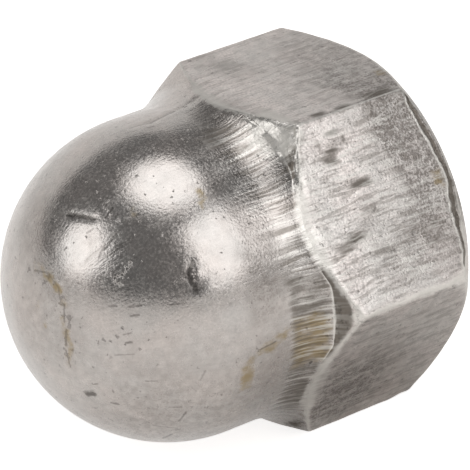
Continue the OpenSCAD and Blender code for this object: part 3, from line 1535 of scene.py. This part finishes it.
    def bore(self) -> bmesh.types.BMesh:
        """Spin the thread as a climbing section, trim it level at both ends and close its point.

        Returns:
            The bore's mesh, open at the mouth.
        """
        size, grid = self.size, self.skin.grid
        step = size.pitch / grid.rows_per_pitch
        overrun = self.thread_overrun * size.pitch
        count = math.ceil((self.thread_cut_z + 2.0 * overrun) / step)
        heights = np.arange(count) * step - overrun
        points = []
        for index, height in enumerate(heights):
            share = index % grid.rows_per_pitch / grid.rows_per_pitch
            points.append((self.thread_reach(min(share, 1.0 - share)), height))
        mesh = self.section(np.array(points))
        spin_once(mesh, grid.thread_columns, self.merge_gap, climb=size.pitch)
        for level, side in ((0.0, -1.0), (self.thread_cut_z, 1.0)):
            bmesh.ops.bisect_plane(
                mesh,
                geom=mesh.verts[:] + mesh.edges[:] + mesh.faces[:],
                dist=self.cut_gap,
                plane_co=(0.0, 0.0, level),
                plane_no=(0.0, 0.0, side),
                clear_outer=True,
            )
        bmesh.ops.remove_doubles(mesh, verts=mesh.verts[:], dist=self.merge_gap)
        for vertex in mesh.verts:
            self.countersink(vertex)
        self.close_point(mesh)
        return mesh

    def countersink(self, vertex: bmesh.types.BMVert) -> None:
        """Let the thread give way to the mouth's cone and run out at the far end.

        Args:
            vertex: The point of the thread that is moved.
        """
        size = self.size
        reach = math.hypot(vertex.co.x, vertex.co.y)
        run_out = self.thread_fade_end_z - self.thread_fade_start_z
        fade = min(max((self.thread_fade_end_z - vertex.co.z) / run_out, 0.0), 1.0)
        wanted = size.bore_r + (reach - size.bore_r) * fade
        wanted = max(wanted, size.mouth_r - vertex.co.z)
        vertex.co.x *= wanted / reach
        vertex.co.y *= wanted / reach

    def close_point(self, mesh: bmesh.types.BMesh) -> None:
        """Carry the far rim on to the end of the bore and draw it in to the drilled point.

        Args:
            mesh: The bore's mesh.
        """
        size = self.size
        rim_z = self.thread_cut_z - self.rim_slack
        rim = [e for e in mesh.edges if e.is_boundary and e.verts[0].co.z > rim_z]
        tip = size.overall_h - size.tip_wall
        halfway = ((size.bore_end_z + tip) / 2.0, size.bore_r / 2.0)
        for height, reach in ((size.bore_end_z, size.bore_r), halfway):
            made = bmesh.ops.extrude_edge_only(mesh, edges=rim)["geom"]
            rim = [e for e in made if isinstance(e, bmesh.types.BMEdge) and e.is_boundary]
            for vertex in {v for e in rim for v in e.verts}:
                scale = reach / math.hypot(vertex.co.x, vertex.co.y)
                vertex.co = (vertex.co.x * scale, vertex.co.y * scale, height)
        made = bmesh.ops.extrude_edge_only(mesh, edges=rim)["geom"]
        last = [v for v in made if isinstance(v, bmesh.types.BMVert)]
        bmesh.ops.pointmerge(mesh, verts=last, merge_co=(0.0, 0.0, tip))

    def joined(self) -> tuple[bmesh.types.BMesh, np.ndarray]:
        """Join the outside and the bore at the seat.

        Returns:
            The closed mesh in the turning frame, and each point's row, -1 in the bore.
        """
        outside, bore = self.outside(), self.bore()
        inner = bpy.data.meshes.new("bore")
        for vertex in bore.verts:
            vertex[bore.verts.layers.int["row"]] = -1
        bore.to_mesh(inner)
        outside.from_mesh(inner)
        bore.free()
        bpy.data.meshes.remove(inner)
        rims = [edge for edge in outside.edges if edge.is_boundary]
        bmesh.ops.triangle_fill(outside, use_beauty=True, edges=rims, normal=(0.0, 0.0, -1.0))
        bmesh.ops.recalc_face_normals(outside, faces=outside.faces[:])
        layer = outside.verts.layers.int["row"]
        return outside, np.array([vertex[layer] for vertex in outside.verts])

    def gather_columns(self, rows: np.ndarray, angles: np.ndarray) -> np.ndarray:
        """Draw the columns together at the corners, where the edges are worn.

        Args:
            rows: Row numbers.
            angles: Evenly spaced angles, in radians.

        Returns:
            The angles to use.
        """
        grid = self.skin.grid
        start, end = grid.first_row(Zone.UPPER_CHAMFER), grid.first_row(Zone.DOME) + self.gather_rows
        amount = grid.corner_gather * (1.0 - smooth_step(start, end, rows))
        return angles - amount * np.sin(SIDES * (angles - CORNER_ANGLE)) / SIDES

    def press(self, place: SkinMap, on_shoulder: np.ndarray) -> np.ndarray:
        """Press the dents in and raise the burrs, which stay inside the bar.

        Args:
            place: The skin before it is marked.
            on_shoulder: Which points lie on the shoulder's edge.

        Returns:
            The moved points.
        """
        ragged = self.ragged.at(place.points)
        shift = patches_share(self.burrs, place.points) * on_shoulder * (1.0 + ragged)
        for dent in self.pressed:
            gap = place.gap_to(dent) / (dent.width * (1.0 + self.ragged_width * ragged))
            shift += dent.lift(gap) * (1.0 + self.ragged_depth * ragged)
        moved = place.points + place.normals * np.where(place.outer, shift, 0.0)[:, None]
        reach = np.hypot(moved[:, 0], moved[:, 1])
        bar = self.skin.sharp_reach(np.arctan2(moved[:, 1], moved[:, 0]))
        moved[:, :2] *= (np.minimum(reach, bar) / np.maximum(reach, LEAST_LENGTH))[:, None]
        return moved

    def foot_gap(self, points: np.ndarray, flats: np.ndarray) -> np.ndarray:
        """Measure how far above the foot of its flat each point lies, for the dirty seam there.

        Args:
            points: Points in the turning frame.
            flats: Which points lie on a flat.

        Returns:
            The height above the foot, shrunk where the seam is broad and raised where there is none.
        """
        reach = self.skin.sharp_reach(np.arctan2(points[:, 1], points[:, 0]))
        gap = points[:, 2] - (reach - self.size.seat_r) * self.size.lower_slope
        gap = gap / (1.0 + patches_share(self.broad_foot, points))
        gap = gap + self.seam_lift * (1.0 - self.seamed_foot.share(points))
        return np.where(flats, gap, 1.0)

    def masks(self, points: np.ndarray, rows: np.ndarray, worn: np.ndarray) -> dict[str, np.ndarray]:
        """Work out how strongly each effect shows at each point.

        Args:
            points: Points in the turning frame.
            rows: Their row numbers, -1 in the bore.
            worn: How far each was worn.

        Returns:
            Each mask's values by its name.
        """
        first = self.skin.grid.first_row
        outside = rows >= 0
        flats = (rows >= first(Zone.FLAT)) & (rows <= first(Zone.UPPER_CHAMFER))
        chamfers = (rows > first(Zone.UPPER_CHAMFER)) & (rows < first(Zone.FLARE))
        shoulder = rows == first(Zone.FLARE)

        soiled = patches_share(self.soiled_foot, points)
        # The grime mask is dirt, plus painted shade along the front flat's edge near the upper chamfer.
        grime_and_shade = patches_share(self.grimy_and_shaded, points) + chamfers * self.soiled_chamfer.share(points)
        burrs = patches_share(self.burrs, points) / max(patch.amount for patch in self.burrs)
        wear = np.maximum(worn, shoulder * burrs) * (1.0 - soiled)
        scraped = self.flat_drag + patches_share(self.scraped_flat, points)
        drag = np.where(flats, scraped, patches_share(self.dragged, points))
        # The dull mask is dull steel, plus painted shade on the bottom flat and the dome's underside.
        dulled_and_shaded = patches_share(self.dulled_and_shaded, points) * (1.0 - self.dull_and_shade_worn_off * wear)
        return {
            "edge_wear": np.maximum(wear, patches_share(self.scuffed, points)) * outside,
            "grime_and_shade": (grime_and_shade * (1.0 - wear) + soiled) * outside,
            "foot_gap": self.foot_gap(points, flats),
            "dulled_and_shaded": dulled_and_shaded * outside,
            "tarnish": patches_share(self.tarnished, points) * outside,
            "drag": np.maximum(drag, self.least_drag) * outside,
            "roughened": patches_share(self.roughened, points) * outside,
        }

    def paint(self, mesh: bpy.types.Mesh, name: str, values: np.ndarray) -> None:
        """Store a mask on the mesh's points."""
        attribute = mesh.attributes.new(name, "FLOAT", "POINT")
        attribute.data.foreach_set("value", np.clip(values, 0.0, 1.0).astype(np.float32))

    def paint_course(self, mesh: bpy.types.Mesh, points: np.ndarray, lengths: np.ndarray) -> None:
        """Store each face corner's place along the skin: around it, and up its section.

        Args:
            mesh: The mesh.
            points: Its points in the turning frame.
            lengths: Each point's place up the section.
        """
        corners = np.zeros(len(mesh.loops), dtype=np.int32)
        mesh.loops.foreach_get("vertex_index", corners)
        starts = np.zeros(len(mesh.polygons), dtype=np.int32)
        mesh.polygons.foreach_get("loop_start", starts)
        counts = np.zeros(len(mesh.polygons), dtype=np.int32)
        mesh.polygons.foreach_get("loop_total", counts)
        turns = np.arctan2(points[corners, 1], points[corners, 0])
        spread = np.maximum.reduceat(turns, starts) - np.minimum.reduceat(turns, starts)
        across_seam = np.repeat(spread > math.pi, counts)
        turns = np.where(across_seam & (turns < 0.0), turns + FULL_TURN, turns)
        course = np.column_stack((turns * self.size.flat_r, lengths[corners], np.zeros(len(corners))))
        attribute = mesh.attributes.new("course", "FLOAT_VECTOR", "CORNER")
        attribute.data.foreach_set("vector", course.ravel().astype(np.float32))

    def section_lengths(self, points: np.ndarray) -> np.ndarray:
        """Measure how far up the section each point lies.

        Args:
            points: Points in the turning frame.

        Returns:
            Each point's height, with its arc length on the dome.
        """
        size = self.size
        above = np.clip((points[:, 2] - size.dome_centre_z) / size.dome_r, 0.0, 1.0)
        return np.minimum(points[:, 2], size.dome_centre_z) + size.dome_r * np.arcsin(above)

    def sharpen(self, mesh: bpy.types.Mesh, rows: np.ndarray) -> None:
        """Mark the sharp edges. Fainter ones count in the bore, where the thread runs out.

        Args:
            mesh: The nut's mesh.
            rows: Each point's row, -1 in the bore.
        """
        ends = np.zeros(len(mesh.edges) * 2, dtype=np.int32)
        mesh.edges.foreach_get("vertices", ends)
        in_bore = (rows[ends.reshape(-1, 2)] < 0).all(axis=1)
        marks = np.zeros((2, len(mesh.edges)), dtype=bool)
        for limit, found in zip((self.sharp_angle_deg, self.bore_sharp_angle_deg), marks):
            mesh.set_sharp_from_angle(angle=math.radians(limit))
            mesh.attributes["sharp_edge"].data.foreach_get("value", found)
        mesh.attributes["sharp_edge"].data.foreach_set("value", np.where(in_bore, marks[1], marks[0]))

    def worn_points(self, form: bmesh.types.BMesh, rows: np.ndarray) -> tuple[np.ndarray, np.ndarray]:
        """Gather the outside's columns at the corners and wear its edges.

        Args:
            form: The closed mesh.
            rows: Each point's row, -1 in the bore.

        Returns:
            The points, and how far each was worn.
        """
        points = np.array([vertex.co[:] for vertex in form.verts])
        worn = np.zeros(len(points))
        outer = rows >= 0
        levels = rows[outer].astype(float)
        angles = self.gather_columns(levels, np.arctan2(points[outer, 1], points[outer, 0]))
        points[outer], worn[outer] = self.skin.wear(levels, angles)
        return points, worn

    def skin_map(self, mesh: bpy.types.Mesh, points: np.ndarray, outer: np.ndarray) -> SkinMap:
        """Move the mesh to its worn points and map its skin.

        Args:
            mesh: The nut's mesh.
            points: Its worn points.
            outer: Which points lie on the outside.

        Returns:
            The map.
        """
        mesh.vertices.foreach_set("co", points.ravel())
        mesh.update()
        normals = np.zeros(len(points) * 3)
        mesh.vertex_normals.foreach_get("vector", normals)
        return SkinMap(points, normals.reshape(-1, 3), outer)

    def nick_line(self, place: SkinMap, nick: Nick) -> NickLine:
        """Find where a nick starts and how far it reaches.

        Args:
            place: The skin.
            nick: The nick.

        Returns:
            The nick as the shader needs it.
        """
        trace = place.trace(nick, spacing=self.nick_spacing)
        return NickLine(Vector(trace[0]), Vector(trace[-1] - trace[0]), nick.width, nick.strength)

    def build(self) -> bpy.types.Object:
        """Build, wear, dress and place the nut.

        Returns:
            The finished object.
        """
        form, rows = self.joined()
        points, worn = self.worn_points(form, rows)
        mesh = bpy.data.meshes.new(SKIN)
        self.set_zones(form)
        form.to_mesh(mesh)
        form.free()
        place = self.skin_map(mesh, points, rows >= 0)
        lines = [self.nick_line(place, nick) for nick in self.nicks]
        points = self.press(place, rows == self.skin.grid.first_row(Zone.FLARE))
        mesh.vertices.foreach_set("co", points.ravel())
        for name, values in self.masks(points, rows, worn).items():
            self.paint(mesh, name, values)
        self.paint_course(mesh, points, self.section_lengths(points))
        self.dress(mesh, lines)
        mesh.transform(self.size.laid_down())
        mesh.shade_smooth()
        self.sharpen(mesh, rows)
        nut = bpy.data.objects.new(SKIN, mesh)
        show(nut)
        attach(nut, BODY)
        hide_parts(NODE)
        return nut

    def set_zones(self, form: bmesh.types.BMesh) -> None:
        """Give each face the finish of its zone.

        Args:
            form: The closed mesh.
        """
        layer = form.verts.layers.int["row"]
        for face in form.faces:
            rows = [vertex[layer] for vertex in face.verts]
            if max(rows) < 0:
                finish = Finish.THREADED
            elif min(rows) < 0:
                finish = Finish.FACED
            else:
                finish = ZONE_FINISH[self.skin.grid.zone_of(sum(rows) / len(rows))]
            face.material_index = finish.value

    def dress(self, mesh: bpy.types.Mesh, nicks: Sequence[NickLine]) -> None:
        """Give the mesh its finishes, in the order of their numbers.

        Args:
            mesh: The nut's mesh.
            nicks: The fine nicks, which only the tumbled finish shows.
        """
        for finish in Finish:
            shown = nicks if finish is Finish.TUMBLED else ()
            mesh.materials.append(FINISHES[finish].build(self.effects, self.size, shown))


# ---------------------------------------------------------------------------------------------
# The studio
# ---------------------------------------------------------------------------------------------


@dataclass(frozen=True)
class SoftLamp:
    """A soft box that faces the nut, oval unless its shape says otherwise."""

    name: str
    azimuth_deg: float
    elevation_deg: float
    half_width_deg: float
    half_height_deg: float
    radiance: float
    shape: str = "ELLIPSE"
    distance: float = 0.4

    def build(self, aim: Vector) -> None:
        """Hang the lamp.

        Args:
            aim: The point that it faces.
        """
        data = bpy.data.lights.new(self.name, "AREA")
        data.shape = self.shape
        data.size = 2.0 * self.distance * math.tan(math.radians(self.half_width_deg))
        data.size_y = 2.0 * self.distance * math.tan(math.radians(self.half_height_deg))
        data.energy = self.radiance * math.pi * data.size * data.size_y
        lamp = bpy.data.objects.new(self.name, data)
        away = direction(self.azimuth_deg, self.elevation_deg)
        lamp.matrix_world = Matrix.Translation(aim + away * self.distance) @ facing(away)
        lamp.visible_camera = False
        show(lamp)


@dataclass(frozen=True)
class Sweep:
    """A pale floor that curves up into a low wall, higher behind the nut."""

    floor_r: float = 0.42
    wall_r: float = 0.5
    wall_deg: float = 11.0
    back_deg: float = 35.0
    back_azimuth_deg: float = 145.0
    back_half_width_deg: float = 50.0
    back_fade_end: float = 1.6
    floor_shares: tuple[float, ...] = (0.1, 0.4, 0.7, 1.0)
    curve_top: float = 0.5
    merge_gap: float = 1e-5
    curve_rows: int = 10
    columns: int = 96
    colour: Colour = (0.8, 0.78, 0.76, 1.0)
    camera_glow: float = 0.75
    mirror_glow: float = 0.5
    # A painted shadow on the floor, seen only in reflections: the glow fades out within these radii of
    # this point.
    shade_at: tuple[float, float, float] = (0.009, -0.01, 0.0)
    shade_r: tuple[float, float] = (0.003, 0.016)

    def wall_height(self, azimuth: float) -> float:
        """Give the wall's height at an azimuth.

        Args:
            azimuth: Azimuth in radians.

        Returns:
            The height in metres.
        """
        low, high = (self.wall_r * math.tan(math.radians(a)) for a in (self.wall_deg, self.back_deg))
        gap = abs(wrapped(azimuth - math.radians(self.back_azimuth_deg)))
        inside = self.back_fade_end - gap / math.radians(self.back_half_width_deg)
        return low + (high - low) * float(smooth_step(0.0, 1.0, inside))

    def section(self) -> list[tuple[float, float, float]]:
        """Lay out the sweep's section.

        Returns:
            Points from the middle of the floor to the wall's top, with a wall of height 1.
        """
        curve = self.wall_r - self.floor_r
        stations = [(0.0, 0.0, 0.0)]
        stations += [(self.floor_r * share, 0.0, 0.0) for share in self.floor_shares]
        for step in range(1, self.curve_rows + 1):
            turn = math.pi / 2.0 * step / self.curve_rows
            height = (1.0 - math.cos(turn)) * self.curve_top
            stations.append((self.floor_r + curve * math.sin(turn), 0.0, height))
        stations.append((self.wall_r, 0.0, 1.0))
        return stations

    def build(self) -> bpy.types.Object:
        """Spin the sweep and give it its paper.

        Returns:
            The sweep.
        """
        form = bmesh.new()
        chain(form, self.section())
        spin_once(form, self.columns, self.merge_gap, merge=True)
        for vertex in form.verts:
            vertex.co.z *= self.wall_height(math.atan2(vertex.co.x, -vertex.co.y))
        bmesh.ops.recalc_face_normals(form, faces=form.faces[:])
        if sum(face.normal.z for face in form.faces) < 0.0:
            bmesh.ops.reverse_faces(form, faces=form.faces[:])
        mesh = bpy.data.meshes.new("sweep")
        form.to_mesh(mesh)
        form.free()
        mesh.shade_smooth()
        mesh.materials.append(self.paper())
        sweep = bpy.data.objects.new("sweep", mesh)
        show(sweep)
        return sweep

    def paper(self) -> bpy.types.Material:
        """Make the sweep's white paper, which glows a little for the camera and in reflections, with a
        painted shadow near the nut that only reflections show.

        Returns:
            The material.
        """
        material = bpy.data.materials.new("white_paper")
        material.use_nodes = True
        tree = material.node_tree
        tree.nodes.clear()
        graph = Graph(tree)
        path = graph.add("LightPath").outputs
        mirrored = graph.math("MAXIMUM", path["Is Glossy Ray"], path["Is Transmission Ray"])
        glow = graph.math("MULTIPLY", path["Is Camera Ray"], self.camera_glow)
        # Painted shadow: near a spot beside the nut the glow that reflections see fades out, so the metal
        # mirrors a darker floor there.
        away = graph.measure("DISTANCE", graph.add("TexCoord").outputs["Object"], self.shade_at)
        beyond_painted_shade = graph.ramp(away, *self.shade_r)
        mirror_beyond_painted_shade = graph.math("MULTIPLY", mirrored, beyond_painted_shade)
        glow = graph.math("MULTIPLY_ADD", mirror_beyond_painted_shade, self.mirror_glow, glow)
        lit = graph.add("BsdfDiffuse", {"Color": self.colour}).outputs[0]
        glowing = graph.add("Emission", {"Strength": glow}).outputs[0]
        both = graph.add("AddShader", {0: lit, 1: glowing}).outputs[0]
        graph.add("OutputMaterial", {"Surface": both})
        return material


@dataclass(frozen=True)
class Camera:
    """The camera, looking down on the nut from the dome's side."""

    azimuth_deg: float = -35.0
    elevation_deg: float = 27.0
    roll_deg: float = -2.7
    target: tuple[float, float, float] = (2.27, 0.0, 9.91)
    distance: float = 196.0
    lens_mm: float = 285.4
    clip: tuple[float, float] = (0.01, 10.0)

    def build(self) -> None:
        """Place the camera and use it."""
        data = bpy.data.cameras.new("camera")
        data.lens = self.lens_mm
        data.clip_start, data.clip_end = self.clip
        camera = bpy.data.objects.new("camera", data)
        away = direction(self.azimuth_deg, self.elevation_deg)
        turn = facing(away) @ Matrix.Rotation(math.radians(self.roll_deg), 4, "Z")
        aim = Vector(self.target) * MM
        camera.matrix_world = Matrix.Translation(aim + away * metres(self.distance)) @ turn
        show(camera)
        bpy.context.scene.camera = camera


@dataclass(frozen=True)
class Studio:
    """Soft lamps, white sweep and a dim room around the nut."""

    lamps: tuple[SoftLamp, ...] = (
        SoftLamp("side_lamp", -105.8, 30.0, 18.5, 17.0, 1.42),
        SoftLamp("top_lamp", 120.0, 86.5, 22.0, 21.0, 1.44),
        SoftLamp("front_lamp", 16.0, 37.0, 20.0, 23.5, 1.75, "RECTANGLE"),
    )
    room: Colour = (0.21, 0.21, 0.21, 1.0)

    def build(self, aim: Vector) -> None:
        """Set the studio up.

        Args:
            aim: The point that the lamps face.
        """
        Sweep().build()
        for lamp in self.lamps:
            lamp.build(aim)
        world = bpy.data.worlds.new("room")
        world.use_nodes = True
        world.node_tree.nodes["Background"].inputs["Color"].default_value = self.room
        bpy.context.scene.world = world
        bpy.context.scene.view_settings.view_transform = "Standard"


def main() -> None:
    """Build the camera, the studio and the nut."""
    logging.basicConfig(level=logging.INFO, format="%(name)s: %(message)s")
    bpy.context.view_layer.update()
    size = NutSizes.of_node(NODE)
    Camera().build()
    Studio().build(Vector((0.0, 0.0, metres(size.flat_r))))
    nut = CapNut(size, NutSkin(size), Effects()).build()
    logger.info("%s: %d faces", nut.name, len(nut.data.polygons))


if __name__ == "__main__":
    main()
